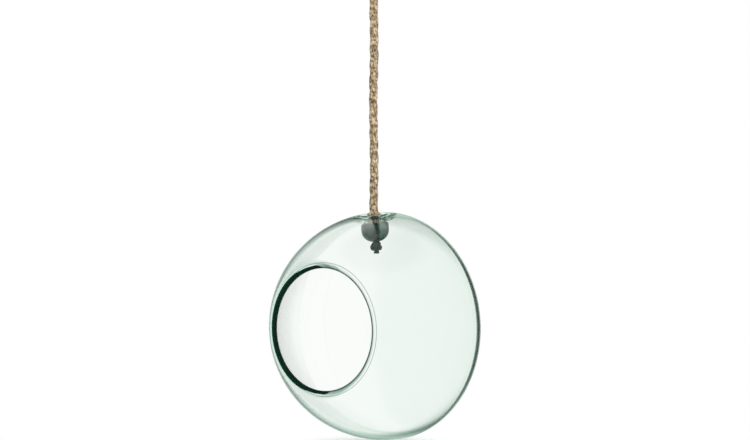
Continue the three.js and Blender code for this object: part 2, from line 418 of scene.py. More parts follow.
def mixed(tree, share, first, second):
    """A colour between two, each a socket or a colour."""
    node = add_node(tree, "ShaderNodeMix", data_type="RGBA")
    tree.links.new(share, node.inputs["Factor"])
    for name, value in (("A", first), ("B", second)):
        if isinstance(value, bpy.types.NodeSocket):
            tree.links.new(value, node.inputs[name])
        else:
            node.inputs[name].default_value = (*value, 1)
    return node.outputs["Result"]


def within(tree, along, edge):
    """1 where a direction lies within the first half angle about an axis, and 0 past the second."""
    return share_between(tree, along, math.cos(edge[1]), math.cos(edge[0]))


def new_material(name):
    """A material, its node tree, its Principled shader and its output."""
    material = bpy.data.materials.new(name)
    material.use_nodes = True
    tree = material.node_tree
    return material, tree, tree.nodes["Principled BSDF"], tree.nodes["Material Output"]


def fibre_group():
    """Twisted plant fibres on a cord's own UV map: U runs across the fibres and V along the cord."""
    group = bpy.data.node_groups.new("twisted_fibres", "ShaderNodeTree")
    sockets = group.interface
    for name in ("Pale", "Middle", "Dark"):
        sockets.new_socket(name, in_out="INPUT", socket_type="NodeSocketColor")
    sockets.new_socket("Color", in_out="OUTPUT", socket_type="NodeSocketColor")
    sockets.new_socket("Height", in_out="OUTPUT", socket_type="NodeSocketFloat")
    link = group.links.new
    inside = add_node(group, "NodeGroupInput")
    outside = add_node(group, "NodeGroupOutput")
    uv = add_node(group, "ShaderNodeUVMap", uv_map="lay")
    fine = add_node(group, "ShaderNodeMapping", Scale=FIBRE_SCALE)
    fibres = add_node(group, "ShaderNodeTexNoise", Scale=1.0, Detail=4.0, Roughness=0.6)
    broad = add_node(group, "ShaderNodeMapping", Scale=BLOTCH_SCALE)
    blotches = add_node(group, "ShaderNodeTexNoise", Scale=1.0, Detail=2.0)
    both = add_node(group, "ShaderNodeMix", data_type="FLOAT")
    both.inputs["Factor"].default_value = 0.5
    dark_mix = add_node(group, "ShaderNodeMix", data_type="RGBA")
    pale_mix = add_node(group, "ShaderNodeMix", data_type="RGBA")
    dark_range = add_node(group, "ShaderNodeMapRange", From_Min=DARK_TO_MIDDLE[0], From_Max=DARK_TO_MIDDLE[1])
    pale_range = add_node(group, "ShaderNodeMapRange", From_Min=MIDDLE_TO_PALE[0], From_Max=MIDDLE_TO_PALE[1])
    link(uv.outputs["UV"], fine.inputs["Vector"])
    link(uv.outputs["UV"], broad.inputs["Vector"])
    link(fine.outputs["Vector"], fibres.inputs["Vector"])
    link(broad.outputs["Vector"], blotches.inputs["Vector"])
    link(fibres.outputs["Fac"], both.inputs["A"])
    link(blotches.outputs["Fac"], both.inputs["B"])
    link(both.outputs["Result"], dark_range.inputs["Value"])
    link(both.outputs["Result"], pale_range.inputs["Value"])
    link(dark_range.outputs["Result"], dark_mix.inputs["Factor"])
    link(inside.outputs["Dark"], dark_mix.inputs["A"])
    link(inside.outputs["Middle"], dark_mix.inputs["B"])
    link(pale_range.outputs["Result"], pale_mix.inputs["Factor"])
    link(dark_mix.outputs["Result"], pale_mix.inputs["A"])
    link(inside.outputs["Pale"], pale_mix.inputs["B"])
    link(pale_mix.outputs["Result"], outside.inputs["Color"])
    link(fibres.outputs["Fac"], outside.inputs["Height"])
    return group


def fibre_material(name, group, tones, roughness, sheen):
    """Jute, natural or dipped, which looks dark where the glass mirrors it."""
    material, tree, shader, _ = new_material(name)
    fibres = add_node(tree, "ShaderNodeGroup", node_tree=group)
    for socket, tone in zip(("Pale", "Middle", "Dark"), tones):
        fibres.inputs[socket].default_value = (*tone, 1)
    bump = add_node(tree, "ShaderNodeBump", Strength=FIBRE_BUMP, Distance=FIBRE_HEIGHT)
    path = add_node(tree, "ShaderNodeLightPath")
    mirrored = maths(tree, "GREATER_THAN", path.outputs["Glossy Depth"], 0.5)
    colour = mixed(tree, mirrored, fibres.outputs["Color"], MIRRORED_ROPE)
    tree.links.new(colour, shader.inputs["Base Color"])
    tree.links.new(fibres.outputs["Height"], bump.inputs["Height"])
    tree.links.new(bump.outputs["Normal"], shader.inputs["Normal"])
    shader.inputs["Roughness"].default_value = roughness
    shader.inputs["Sheen Weight"].default_value = sheen
    shader.inputs["Specular IOR Level"].default_value = JUTE_SPECULAR
    return material


def globe_material():
    """Clear blown glass whose wall takes a little red and blue from the light. Its colour darkens at the
    rim's edges as painted shade.
    """
    material, tree, shader, output = new_material("clear_green_glass")
    place = add_node(tree, "ShaderNodeTexCoord").outputs["Object"]
    centred = add_node(tree, "ShaderNodeMapping", Location=(0, -globe_low.y, -globe_height))
    flat = add_node(tree, "ShaderNodeVectorMath", operation="MULTIPLY")
    flat.inputs[1].default_value = (1, 0, 1)
    radius = add_node(tree, "ShaderNodeVectorMath", operation="LENGTH")
    tree.links.new(place, centred.inputs["Vector"])
    tree.links.new(centred.outputs["Vector"], flat.inputs[0])
    tree.links.new(flat.outputs["Vector"], radius.inputs[0])
    behind = along_axis(tree, centred.outputs["Vector"], (0, 1, 0))
    # Painted shade: the glass darkens in a ring at the rim's inner edge and a line at its outer edge
    near_rim = share_between(tree, behind, RIM_DEPTH[1], RIM_DEPTH[0])
    near_axis = share_between(tree, radius.outputs["Value"], SHADED_RING[1], SHADED_RING[0])
    ring = maths(tree, "MULTIPLY", near_axis, near_rim)
    from_inside = share_between(tree, radius.outputs["Value"], SHADED_RIM_LINE[0], SHADED_RIM_LINE[1])
    from_outside = share_between(tree, radius.outputs["Value"], SHADED_RIM_LINE[2], SHADED_RIM_LINE[1])
    line = maths(tree, "MULTIPLY", maths(tree, "MULTIPLY", from_inside, from_outside), near_rim)
    lined = mixed(tree, line, (1, 1, 1), SHADED_RIM_LINE_TONE)
    tree.links.new(mixed(tree, ring, lined, SHADED_RING_TONE), shader.inputs["Base Color"])
    shader.inputs["Roughness"].default_value = 0.0
    shader.inputs["IOR"].default_value = GLASS_IOR
    shader.inputs["Transmission Weight"].default_value = 1.0
    tint = add_node(tree, "ShaderNodeVolumeAbsorption", Color=(*GLASS_TINT, 1), Density=GLASS_DENSITY)
    tree.links.new(tint.outputs["Volume"], output.inputs["Volume"])
    return material


def bead_material():
    """Cloudy green glass with painted shade: darker towards its foot and paler towards its crown."""
    material, tree, shader, _ = new_material("cloudy_bead_glass")
    link = tree.links.new
    place = add_node(tree, "ShaderNodeTexCoord")
    cloud = add_node(tree, "ShaderNodeTexNoise", Scale=CLOUD_SCALE, Detail=3.0, Roughness=0.6)
    height = add_node(tree, "ShaderNodeSeparateXYZ")
    low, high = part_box("stop_bead")
    rise = add_node(tree, "ShaderNodeMapRange", From_Min=low.z, From_Max=high.z)
    speckle = add_node(
        tree, "ShaderNodeMapRange", From_Min=CLOUD_RANGE[0], From_Max=CLOUD_RANGE[1],
        To_Min=-CLOUD_SHARE, To_Max=CLOUD_SHARE,
    )
    both = add_node(tree, "ShaderNodeMath", operation="ADD", use_clamp=True)
    link(place.outputs["Object"], cloud.inputs["Vector"])
    link(place.outputs["Object"], height.inputs["Vector"])
    link(height.outputs["Z"], rise.inputs["Value"])
    link(cloud.outputs["Fac"], speckle.inputs["Value"])
    link(rise.outputs["Result"], both.inputs[0])
    link(speckle.outputs["Result"], both.inputs[1])
    # Painted shade: dark at the bead's foot, pale at its crown
    tone = mixed(tree, both.outputs["Value"], SHADED_BEAD_FOOT, LIT_BEAD_CROWN)
    link(tone, shader.inputs["Base Color"])
    shader.inputs["Roughness"].default_value = BEAD_ROUGHNESS
    shader.inputs["IOR"].default_value = GLASS_IOR
    shader.inputs["Transmission Weight"].default_value = BEAD_TRANSMISSION
    return material


fibres = fibre_group()
jute = fibre_material("natural_jute", fibres, JUTE_TONES, roughness=0.9, sheen=0.25)
dipped_jute = fibre_material("green_dipped_jute", fibres, DIPPED_TONES, roughness=0.6, sheen=0.0)
clear_glass = globe_material()
bead_glass = bead_material()


# Glass globe


def half_meridian(radius, front, back):
    """From the back's centre to the mouth's plane: (radius, reach towards the mouth)."""
    points = []
    for ring in range(BACK_RINGS):
        angle = math.pi / 2 * (1 - ring / BACK_RINGS)
        points.append((radius * math.cos(angle) if ring else 0, -back * math.sin(angle)))
    last_angle = math.asin(mouth_reach / front)
    for ring in range(FRONT_RINGS + 1):
        angle = last_angle * ring / FRONT_RINGS
        points.append((radius * math.cos(angle), front * math.sin(angle)))
    return points


def rounded(before, corner, after, radius):
    """An arc in place of a profile's corner."""
    before, corner, after = Vector(before), Vector(corner), Vector(after)
    arriving = (corner - before).normalized()
    leaving = (after - corner).normalized()
    turn = arriving.angle_signed(leaving)
    centre = corner + (leaving - arriving).normalized() * radius / math.cos(turn / 2)
    start = corner - arriving * radius * math.tan(abs(turn) / 2) - centre
    arc = []
    for step in range(ROUNDING_STEPS + 1):
        point = centre + Matrix.Rotation(-turn * step / ROUNDING_STEPS, 2) @ start
        arc.append((point.x, point.y))
    return arc


def lip_swell(reach):
    """How much thicker the wall gets towards the rim, so that the rounded edge keeps the mouth's width."""
    return LIP_SWELL * max(0, 1 - (mouth_reach - reach) / LIP_DEPTH) ** 2


def combine(piece, tool, operation):
    """Cuts or joins a piece with a tool, which is used up."""
    step = piece.modifiers.new("combine", "BOOLEAN")
    step.operation = operation
    step.solver = "EXACT"
    step.object = tool
    bpy.context.view_layer.objects.active = piece
    bpy.ops.object.modifier_apply(modifier=step.name)
    bpy.data.objects.remove(tool)


def drill():
    """A cutter for the hole, with a rounded lip outside and a small chamfer at the bead's seat."""
    flare = CUTTER_REACH * SEAT_CHAMFER
    beyond = LIP_GUIDE * HOLE_RADIUS
    lip = rounded(
        (HOLE_RADIUS, -HOLE_WALL), (HOLE_RADIUS, -HOLE_RADIUS**2 / (2 * globe_radius)),
        (beyond, -beyond**2 / (2 * globe_radius)), HOLE_LIP,
    )[:-1]
    last = Vector(lip[-1]) + (Vector(lip[-1]) - Vector(lip[-2])) * CUTTER_REACH
    tool = turned("drill", [
        (0, -HOLE_WALL + SEAT_CHAMFER - flare),
        (HOLE_RADIUS + flare, -HOLE_WALL + SEAT_CHAMFER - flare),
        (HOLE_RADIUS, -HOLE_WALL + SEAT_CHAMFER),
        *lip,
        tuple(last),
        (0, last.y),
    ], HOLE_STEPS)
    settle(tool, seat)
    return tool


def hole_collar():
    """The thicker glass round the hole: it starts inside the wall and is flat underneath."""
    middle = half_meridian(
        (globe_radius + inner_radius) / 2, (front_reach + inner_front) / 2, (BACK_DEPTH + inner_back) / 2
    )
    dome = turned("dome", [*middle, (0, mouth_reach)], GLOBE_STEPS)
    settle(dome, globe_place)
    foot, top = (0, -HOLE_WALL), (COLLAR_RADIUS + COLLAR_SPREAD * 2 * HOLE_WALL, HOLE_WALL)
    edge = rounded(foot, (COLLAR_RADIUS, -HOLE_WALL), top, COLLAR_ROUNDING)
    collar = turned("collar", [foot, *edge, top, (0, HOLE_WALL)], HOLE_STEPS)
    settle(collar, seat)
    combine(collar, dome, "INTERSECT")
    return collar


def glass_globe():
    """The globe turned about its mouth's axis, with its rim, and with its collar and hole in the top."""
    outside = half_meridian(globe_radius, front_reach, BACK_DEPTH)
    inside = half_meridian(inner_radius, inner_front, inner_back)[::-1]
    outer_edge = rounded(outside[-2], outside[-1], inside[0], OUTER_ROUNDING)
    inside = [(radius - lip_swell(reach), reach) for radius, reach in inside]
    inner_edge = rounded(outside[-1], inside[0], inside[1], INNER_ROUNDING)
    outside = [point for point in outside if point[1] < outer_edge[0][1]]
    inside = [point for point in inside if point[1] < inner_edge[-1][1]]
    globe = turned("globe", [*outside, *outer_edge, *inner_edge, *inside], GLOBE_STEPS)
    settle(globe, globe_place)
    combine(globe, hole_collar(), "UNION")
    combine(globe, drill(), "DIFFERENCE")
    smooth(globe, GLOBE_CREASE)
    dress(globe, clear_glass, "clear_glass", "glass_globe")
    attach(globe, "globe")


# Bead


def shoulder(radius, reach, fullness):
    """Height above or below the bead's widest ring where it has the given radius."""
    return reach * (1 - (radius / BEAD_RADIUS) ** fullness) ** (1 / fullness)


bore_mouth = BORE_RADIUS + BORE_BEVEL

# Distances along the hole's axis from the hole's outer edge
bead_middle = -HOLE_WALL - SEAT_GAP - shoulder(HOLE_RADIUS, BEAD_CROWN, CROWN_FULLNESS)
bead_bottom = bead_middle - shoulder(bore_mouth, BEAD_FOOT, FOOT_FULLNESS)


def stop_bead():
    """A bead with a flat crown. Its strand fills the bore, so the glass closes on it a little way in."""
    outside = []
    for ring in range(-BEAD_RINGS, BEAD_RINGS + 1):
        fullness, reach = (FOOT_FULLNESS, -BEAD_FOOT) if ring < 0 else (CROWN_FULLNESS, BEAD_CROWN)
        angle = math.acos((bore_mouth / BEAD_RADIUS) ** (fullness / 2)) * abs(ring) / BEAD_RINGS
        rise = reach * math.sin(angle) ** (2 / fullness)
        outside.append((BEAD_RADIUS * math.cos(angle) ** (2 / fullness), rise))
    low, high = outside[0][1], outside[-1][1]
    bottom = [(0, low + BORE_RECESS), (BORE_RADIUS, low + BORE_RECESS), (BORE_RADIUS, low + BORE_BEVEL)]
    top = [(BORE_RADIUS, high - BORE_BEVEL), (BORE_RADIUS, high - BORE_RECESS), (0, high - BORE_RECESS)]
    bead = turned("bead", [*bottom, *outside, *top], BEAD_STEPS)
    settle(bead, seat @ Matrix.Translation((0, 0, bead_middle)))
    smooth(bead, BEAD_CREASE)
    dress(bead, bead_glass, "bead_glass", "stop_bead")
    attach(bead, "bead")


# Rope

rope_top = joint_height["swing_side"]
foot_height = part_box("rope_end")[0].z

# Rope from its knot down to the hole: sway in x and y, and height below the rope's top
ROPE_ROUTE = [
    (0, 0, 0), (0, 0, -0.013), (0.0002, 0.0001, -0.026), (0.0004, 0.0001, -0.039),
    (0.0005, 0, -0.052), (0.0004, -0.0002, -0.065), (0.0001, -0.0003, -0.078), (-0.0002, -0.0003, -0.091),
    (-0.0004, -0.0001, -0.104), (-0.0004, 0.0001, -0.117), (-0.0002, 0.0003, -0.13), (0.0001, 0.0003, -0.143),
    (0.0003, 0.0002, -0.156), (0.0002, 0, -0.169), (0, 0, -0.182), (0, 0, -0.195),
]

# Right half of the hanging loop, from crown to leg: reach outside the leg's line, drop below the crown
LOOP_CROWN = 0.004
LEG_OFFSET = 0.0043
LOOP_REACH_AND_DROP = [
    (0.004, -0.0012), (0.0098, -0.0052), (0.0133, -0.011), (0.0145, -0.018), (0.0132, -0.025),
    (0.0102, -0.032), (0.0064, -0.039), (0.0028, -0.046), (0.0006, -0.053), (0, -0.06),
]

# Standing rope inside the hitch, upwards, and the free end that leaves it behind
HITCH_MIDDLE = -0.0703
STANDING_END = -0.0705
STANDING_ROUTE = [(0, 0, -0.0765), (-0.001, 0, -0.0705), (-0.0027, 0, -0.0645), (-0.0039, 0, -0.0595)]
TAIL_START = 0.0128
LOOP_TAIL_ROUTE = [(0, 0), (0.005, 0.0002), (0.01, -0.0006), (0.015, -0.0022), (0.019, -0.0044)]

# How far the rope is splayed at its foot: height from the hole's outer edge, share of its own width
FOOT_SPREAD = [(-0.0045, 1.5), (-0.002, 1.55), (-0.001, 1.65), (-0.0002, 1.6), (0.0004, 1.25), (0.0012, 1.0)]

# The hitch, from the end of the loop's right leg: two turns round the standing rope, with a slanting step
# between them, in degrees
LEG_END = -0.0625
HITCH_ENTRY = [(0.0048, -0.0004, -0.0585), (0.0068, 0.0002, -0.0618)]
HITCH_EXIT = [(0.0083, 0.0015, -0.0755), (0.0072, 0.0062, -0.0738), (0.0038, 0.0105, -0.0716)]
HITCH_RADIUS = 0.0082
HITCH_SPREAD = 0.0056
HITCH_DEGREES = range(30, 720, 30)
HITCH_STEP = (250, 400)
HITCH_END = 0.0118

# Points between two given points of a route
FINE_STEPS = 24


def smooth_step(low, high, value):
    """Smoothly from 0 at low to 1 at high."""
    share = min(1.0, max(0.0, (value - low) / (high - low)))
    return share * share * (3 - 2 * share)


def hitch_route():
    """Points of the hitch, from the end of the loop's right leg to the free end."""
    points = []
    for degrees in HITCH_DEGREES:
        angle = math.radians(degrees)
        height = HITCH_MIDDLE + HITCH_SPREAD * (1 - 2 * smooth_step(*HITCH_STEP, degrees))
        points.append((HITCH_RADIUS * math.cos(angle), HITCH_RADIUS * math.sin(angle), height))
    return [*HITCH_ENTRY, *points, *HITCH_EXIT]


def whole_rope():
    """The rope's centreline from its foot in the hole, up through the knot, round the loop and out behind."""
    foot = (0, 0, foot_height)
    main = [(x, y, rope_top + z) for x, y, z in reversed(ROPE_ROUTE)]
    right = [(LEG_OFFSET + reach, 0, LOOP_CROWN + drop) for reach, drop in LOOP_REACH_AND_DROP]
    left = [(-x, y, z) for x, y, z in reversed(right)]
    tail = [(0, TAIL_START + out, HITCH_MIDDLE + rise) for out, rise in LOOP_TAIL_ROUTE]
    return [foot, *main, *STANDING_ROUTE, *left, (0, 0, LOOP_CROWN), *right, *hitch_route(), *tail]


def smooth_route(points, step):
    """Evenly spaced points on a smooth curve through the given points, and their distances along it."""
    given = np.array(points, float)
    given = np.vstack([2 * given[0] - given[1], given, 2 * given[-1] - given[-2]])
    fine = []
    for a, b, c, d in zip(given, given[1:], given[2:], given[3:]):
        knots = np.cumsum([0] + [math.sqrt(np.linalg.norm(q - p)) for p, q in ((a, b), (b, c), (c, d))])
        t = np.linspace(knots[1], knots[2], FINE_STEPS, endpoint=False)[:, None]
        t0, t1, t2, t3 = knots
        ab = (a * (t1 - t) + b * (t - t0)) / (t1 - t0)
        bc = (b * (t2 - t) + c * (t - t1)) / (t2 - t1)
        cd = (c * (t3 - t) + d * (t - t2)) / (t3 - t2)
        abc = (ab * (t2 - t) + bc * (t - t0)) / (t2 - t0)
        bcd = (bc * (t3 - t) + cd * (t - t1)) / (t3 - t1)
        fine.append((abc * (t2 - t) + bcd * (t - t1)) / (t2 - t1))
    line = np.vstack([*fine, given[-2:-1]])
    along = np.concatenate([[0], np.cumsum(np.linalg.norm(np.diff(line, axis=0), axis=1))])
    even = np.linspace(0, along[-1], int(round(along[-1] / step)) + 1)
    return np.stack([np.interp(even, along, line[:, axis]) for axis in range(3)], axis=1), even


def frames_along(route):
    """Tangent, side and up at each point, with no twist about the route."""
    tangents = np.gradient(route, axis=0)
    tangents /= np.linalg.norm(tangents, axis=1)[:, None]
    side = np.array((1.0, 0, 0))
    sides = []
    for tangent in tangents:
        side = side - tangent * (side @ tangent)
        side = side / np.linalg.norm(side)
        sides.append(side)
    sides = np.array(sides)
    return tangents, sides, np.cross(tangents, sides)


def wander(along, wavelength, row):
    """Smooth noise along a cord, from about -1 to 1."""
    places = [Vector((distance / wavelength, row * NOISE_ROW, NOISE_LAYER)) for distance in along]
    return np.array([noise.noise(place) for place in places]) * NOISE_GAIN


class LaidRope:
    """The skin of a three-strand rope: a ring of points round its strands at each station of its route."""

    def __init__(self, points):
        self.route, self.along = smooth_route(points, ROPE_STEP)
        self.tangents, self.sides, self.ups = frames_along(self.route)
        strand = ROPE_RADIUS * STRAND_SHARE
        offset = ROPE_RADIUS - strand
        arc = np.linspace(-STRAND_ARC, STRAND_ARC, ARC_POINTS)
        fade = np.clip((STRAND_ARC - np.abs(arc)) / ARC_FADE, 0, 1)
        fibre_turn = FIBRE_TURNS * 2 * math.pi / LAY_PITCH
        rings, turns, outs = [], [], []
        for k in range(STRANDS):
            lay = 2 * math.pi * (self.along / LAY_PITCH + k / STRANDS)
            fibre = arc[None, :] + (fibre_turn * self.along)[:, None]
            drift = wander(self.along, DRIFT_LENGTH, k + DRIFT_ROW)
            yarn = np.abs(np.cos(fibre * YARNS / 2 + drift[:, None]))
            swell = 1 + SWELL * wander(self.along, SWELL_LENGTH, k)
            radius = strand * (swell[:, None] + (YARN_RISE * yarn - YARN_SINK) * fade)
            reach = offset * (1 + STRAY * wander(self.along, STRAY_LENGTH, k + STRAY_ROW))
            angle = lay[:, None] + arc[None, :]
            x = reach[:, None] * np.cos(lay)[:, None] + radius * np.cos(angle)
            y = reach[:, None] * np.sin(lay)[:, None] + radius * np.sin(angle)
            rings.append(np.stack([x, y], axis=2))
            outs.append(np.stack([np.cos(angle), np.sin(angle)], axis=2))
            turns.append(fibre / (2 * math.pi) + FIBRE_SHIFT * k)
        self.rings = np.concatenate(rings, axis=1)
        self.outs = np.concatenate(outs, axis=1)
        self.turns = np.concatenate(turns, axis=1)

    def station(self, test, start=0):
        """First station, from a start on, whose centre passes the test."""
        return next(i for i in range(start, len(self.route)) if test(self.route[i]))

    def length(self, first, last):
        """Length of the stretch between two stations."""
        return self.along[last - 1] - self.along[first]

    def piece(self, name, first, last, spread=None):
        """The stretch between two stations as a closed mesh. spread widens each ring."""
        flat = self.rings[first:last] * (1 if spread is None else spread[:, None, None])
        side, up = self.sides[first:last, None], self.ups[first:last, None]
        points = self.route[first:last, None] + (flat[..., :1] * side + flat[..., 1:] * up)
        return skin_piece(name, points, self.turns[first:last], self.along[first:last] / LAY_PITCH)


def skin_piece(name, points, turns, lengths):
    """A closed skin over rings of points. turns and lengths are its U and V."""
    count, around = points.shape[:2]
    ends = [points[0].mean(axis=0), points[-1].mean(axis=0)]
    vertices = np.vstack([points.reshape(-1, 3), ends])
    faces, uvs = [], []
    face_width = 2 * STRAND_ARC / (2 * math.pi) / (ARC_POINTS - 1)
    for i in range(count - 1):
        for j in range(around):
            k = (j + 1) % around
            faces.append((i * around + j, i * around + k, (i + 1) * around + k, (i + 1) * around + j))
            u, w = turns[i, j], turns[i + 1, j]
            uvs += [
                (u, lengths[i]), (u + face_width, lengths[i]),
                (w + face_width, lengths[i + 1]), (w, lengths[i + 1]),
            ]
    last = (count - 1) * around
    for j in range(around):
        k = (j + 1) % around
        faces.append((k, j, count * around))
        faces.append((last + j, last + k, count * around + 1))
        uvs += [(turns[0, j], lengths[0])] * 3 + [(turns[-1, j], lengths[-1])] * 3
    return mesh_piece(name, vertices, faces, uvs)


def loose_fibres(name, roots, outs, alongs, lengths, seed):
    """Fine bent hairs that stand off a cord."""
    chance = np.random.default_rng(seed)
    steps, sides = HAIR_STEPS, HAIR_SIDES
    vertices, faces, uvs = [], [], []
    for root, out, along, length in zip(roots, outs, alongs, lengths):
        drift = chance.normal(size=3)
        lying = along * chance.choice((-1, 1)) * HAIR_ALONG
        heading = lying + out * chance.uniform(*HAIR_OUT) + drift * HAIR_ASTRAY
        heading /= np.linalg.norm(heading)
        curl = chance.normal(size=3)
        across = np.cross(heading, drift)
        across /= np.linalg.norm(across)
        other = np.cross(heading, across)
        base = len(vertices)
        shade = chance.uniform(0, HAIR_SHADES, size=2)
        for step in range(steps + 1):
            share = step / steps
            bent = heading * share + curl * share * share * HAIR_CURL
            centre = root - out * HAIR_RADIUS + length * bent
            width = HAIR_RADIUS * (1 - HAIR_TAPER * share)
            for side in range(sides):
                turn = 2 * math.pi * side / sides
                vertices.append(centre + width * (math.cos(turn) * across + math.sin(turn) * other))
        for step in range(steps):
            for side in range(sides):
                a, b = base + step * sides + side, base + step * sides + (side + 1) % sides
                faces.append((a, b, b + sides, a + sides))
                uvs += [shade] * 4
        faces.append(tuple(base + side for side in reversed(range(sides))))
        faces.append(tuple(base + steps * sides + side for side in range(sides)))
        uvs += [shade] * (2 * sides)
    return mesh_piece(name, vertices, faces, uvs)


def rope_fibres(rope, name, first, last, count, longest, seed):
    """Loose fibres on a stretch of the rope."""
    chance = np.random.default_rng(seed)
    stations = chance.integers(first, last, count)
    around = chance.integers(0, rope.rings.shape[1], count)
    roots, outs = [], []
    for i, j in zip(stations, around):
        frame_axes = np.stack([rope.sides[i], rope.ups[i]])
        roots.append(rope.route[i] + rope.rings[i, j] @ frame_axes)
        outs.append(rope.outs[i, j] @ frame_axes)
    lengths = longest * chance.uniform(HAIR_SHORTEST, 1, count) ** HAIR_FALLOFF
    return loose_fibres(name, roots, outs, rope.tangents[stations], lengths, seed + 1)


# Stations where one stretch of the rope goes over into the next. The stretches overlap a little
rope = LaidRope(whole_rope())
foot_end = rope.station(lambda centre: centre[2] > rope_top + ROPE_ROUTE[-1][2])
rope_end = rope.station(lambda centre: centre[2] > STANDING_END)
loop_start = rope_end - 1 - OVERLAP
after_crown = rope.station(lambda centre: centre[0] > ROPE_RADIUS)
loop_end = rope.station(lambda centre: centre[2] < LEG_END, after_crown)
tail_start = rope.station(lambda centre: centre[1] > HITCH_END, loop_end)
stop = len(rope.route)


def knot_to_rope(piece):
    """Puts a piece's placing into its mesh."""
    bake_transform(piece)


def loop_to_knot(piece):
    """Puts a piece's placing into its mesh."""
    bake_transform(piece)


def jute_rope():
    """The rope's stretches and their loose hairs, with the stretch that is the cord first."""
    foot_heights = rope.route[: foot_end + 1, 2] - hole_height
    foot_spread = np.interp(foot_heights, *zip(*FOOT_SPREAD))
    foot = rope.piece("rope_foot", 0, foot_end + 1, foot_spread)
    dress(foot, jute, "jute", "rope_end")
    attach(foot, "rope")
    main = rope.piece("laid_rope", foot_end, rope_end)
    dress(main, jute, "jute", "rope")
    knot_to_rope(main)
    loop = rope.piece("rope_loop", loop_start, loop_end + OVERLAP)
    dress(loop, jute, "jute", "hanging_loop")
    loop_to_knot(loop)
    hitch = rope.piece("rope_hitch", loop_end, tail_start + OVERLAP)
    dress(hitch, jute, "jute", "loop_knot")
    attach(hitch, "knot")
    tail = rope.piece("rope_tail", tail_start, stop)
    dress(tail, jute, "jute", "loop_tail")
    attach(tail, "knot")
    main_hair = rope_fibres(rope, "laid_rope_fibres", foot_end, rope_end, *ROPE_HAIRS)
    dress(main_hair, jute, "jute")
    knot_to_rope(main_hair)
    loop_hair = rope_fibres(rope, "rope_loop_fibres", loop_start, loop_end, *LOOP_HAIRS)
    dress(loop_hair, jute, "jute")
    loop_to_knot(loop_hair)
    hitch_hair = rope_fibres(rope, "rope_hitch_fibres", loop_end, stop, *HITCH_HAIRS)
    dress(hitch_hair, jute, "jute")
    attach(hitch_hair, "knot")
    return [main, foot, loop, hitch, tail, main_hair, loop_hair, hitch_hair]


# Strand through the bead

# Distances along the hole's axis from the hole's outer edge
strand_top = foot_height - hole_height - STRAND_GAP
knot_centre = bead_bottom - KNOT_DROP
neck = bead_bottom - NECK_DROP


def overhand_route():
    """An overhand knot along the hole's axis: two windings that pass under each other."""
    points = []
    for degrees in KNOT_DEGREES:
        angle = math.radians(degrees)
        lower = -math.sin(KNOT_WAVES * angle)
        reach = KNOT_REACH + KNOT_LOBE * (KNOT_LEAN * lower + math.cos(KNOT_WAVES * angle))
        height = knot_centre - KNOT_RISE * lower
        points.append((reach * math.cos(angle), reach * math.sin(angle), height))
    return points


def twisted_strand(name, points, radii):
    """The skin of a strand along points about the hole's axis. radii goes by share of its length."""
    route, along = smooth_route(points, STRAND_STEP)
    _, sides, ups = frames_along(route)
    radius = np.interp(along / along[-1], *zip(*radii))
    angle = np.linspace(0, 2 * math.pi, STRAND_SIDES, endpoint=False)
    fibre = angle[None, :] + (along * 2 * math.pi / STRAND_TWIST)[:, None]
    yarn = np.abs(np.cos(fibre * LONE_YARNS / 2))
    swell = 1 + LONE_SWELL * wander(along, LONE_SWELL_LENGTH, LONE_ROW)
    reach = radius[:, None] * (swell[:, None] + LONE_YARN_RISE * yarn - LONE_YARN_SINK)
    offset = np.cos(angle)[None, :, None] * sides[:, None] + np.sin(angle)[None, :, None] * ups[:, None]
    flat = route[:, None] + reach[..., None] * offset
    turn = np.array(seat.to_3x3())
    shift = np.array(seat.translation)
    return skin_piece(name, flat @ turn.T + shift, fibre / (2 * math.pi), along / LAY_PITCH)


def through_strand():
    """The strand in the bead's bore, and the knot under it."""
    heights = (strand_top, bead_middle, bead_bottom - STRAND_END)
    straight = [(0, 0, height) for height in heights]
    strand = twisted_strand("bead_strand", straight, [(0, STRAND_RADIUS), (1, STRAND_RADIUS)])
    dress(strand, dipped_jute, "dipped_jute", "core_strand")
    lead_in = [(x, y, bead_bottom + z) for x, y, z in KNOT_LEAD_IN]
    lead_out = [(x, y, neck + z) for x, y, z in KNOT_LEAD_OUT]
    knot = twisted_strand("tied_stop_knot", [*lead_in, *overhand_route(), *lead_out], KNOT_RADII)
    dress(knot, dipped_jute, "dipped_jute", "stop_knot")
    for piece in (strand, knot):
        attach(piece, "bead")
    return [strand, knot]


def frayed_tail():
    """The strand's yarns spread out under the knot."""
    yarns = []
    top = Vector((0, 0, neck + TAIL_TOP))
    for k, (lean, drop) in enumerate(TAIL_YARNS):
        angle = 2 * math.pi * k / len(TAIL_YARNS) + TAIL_TURN
        side = Vector((math.cos(angle), math.sin(angle), 0))
        start = top + side * TAIL_SPREAD[0]
        bend = top + side * TAIL_SPREAD[1] + Vector((0, 0, -TAIL_BEND))
        end = top + side * lean + Vector((0, 0, -drop - TAIL_TOP))
        yarns.append(twisted_strand(f"tail_yarn_{k}", [start, bend, end], TAIL_RADII))
    bpy.ops.object.select_all(action="DESELECT")
    for yarn in yarns:
        yarn.select_set(True)
    bpy.context.view_layer.objects.active = yarns[0]
    bpy.ops.object.join()
    tail = bpy.context.object
    tail.name = tail.data.name = "frayed_tail"
    dress(tail, dipped_jute, "dipped_jute", "strand_tail")
    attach(tail, "bead")
    return tail


glass_globe()
stop_bead()
rope_pieces = jute_rope()
strand_pieces = through_strand()
tail_tuft = frayed_tail()


# Camera, light and floor


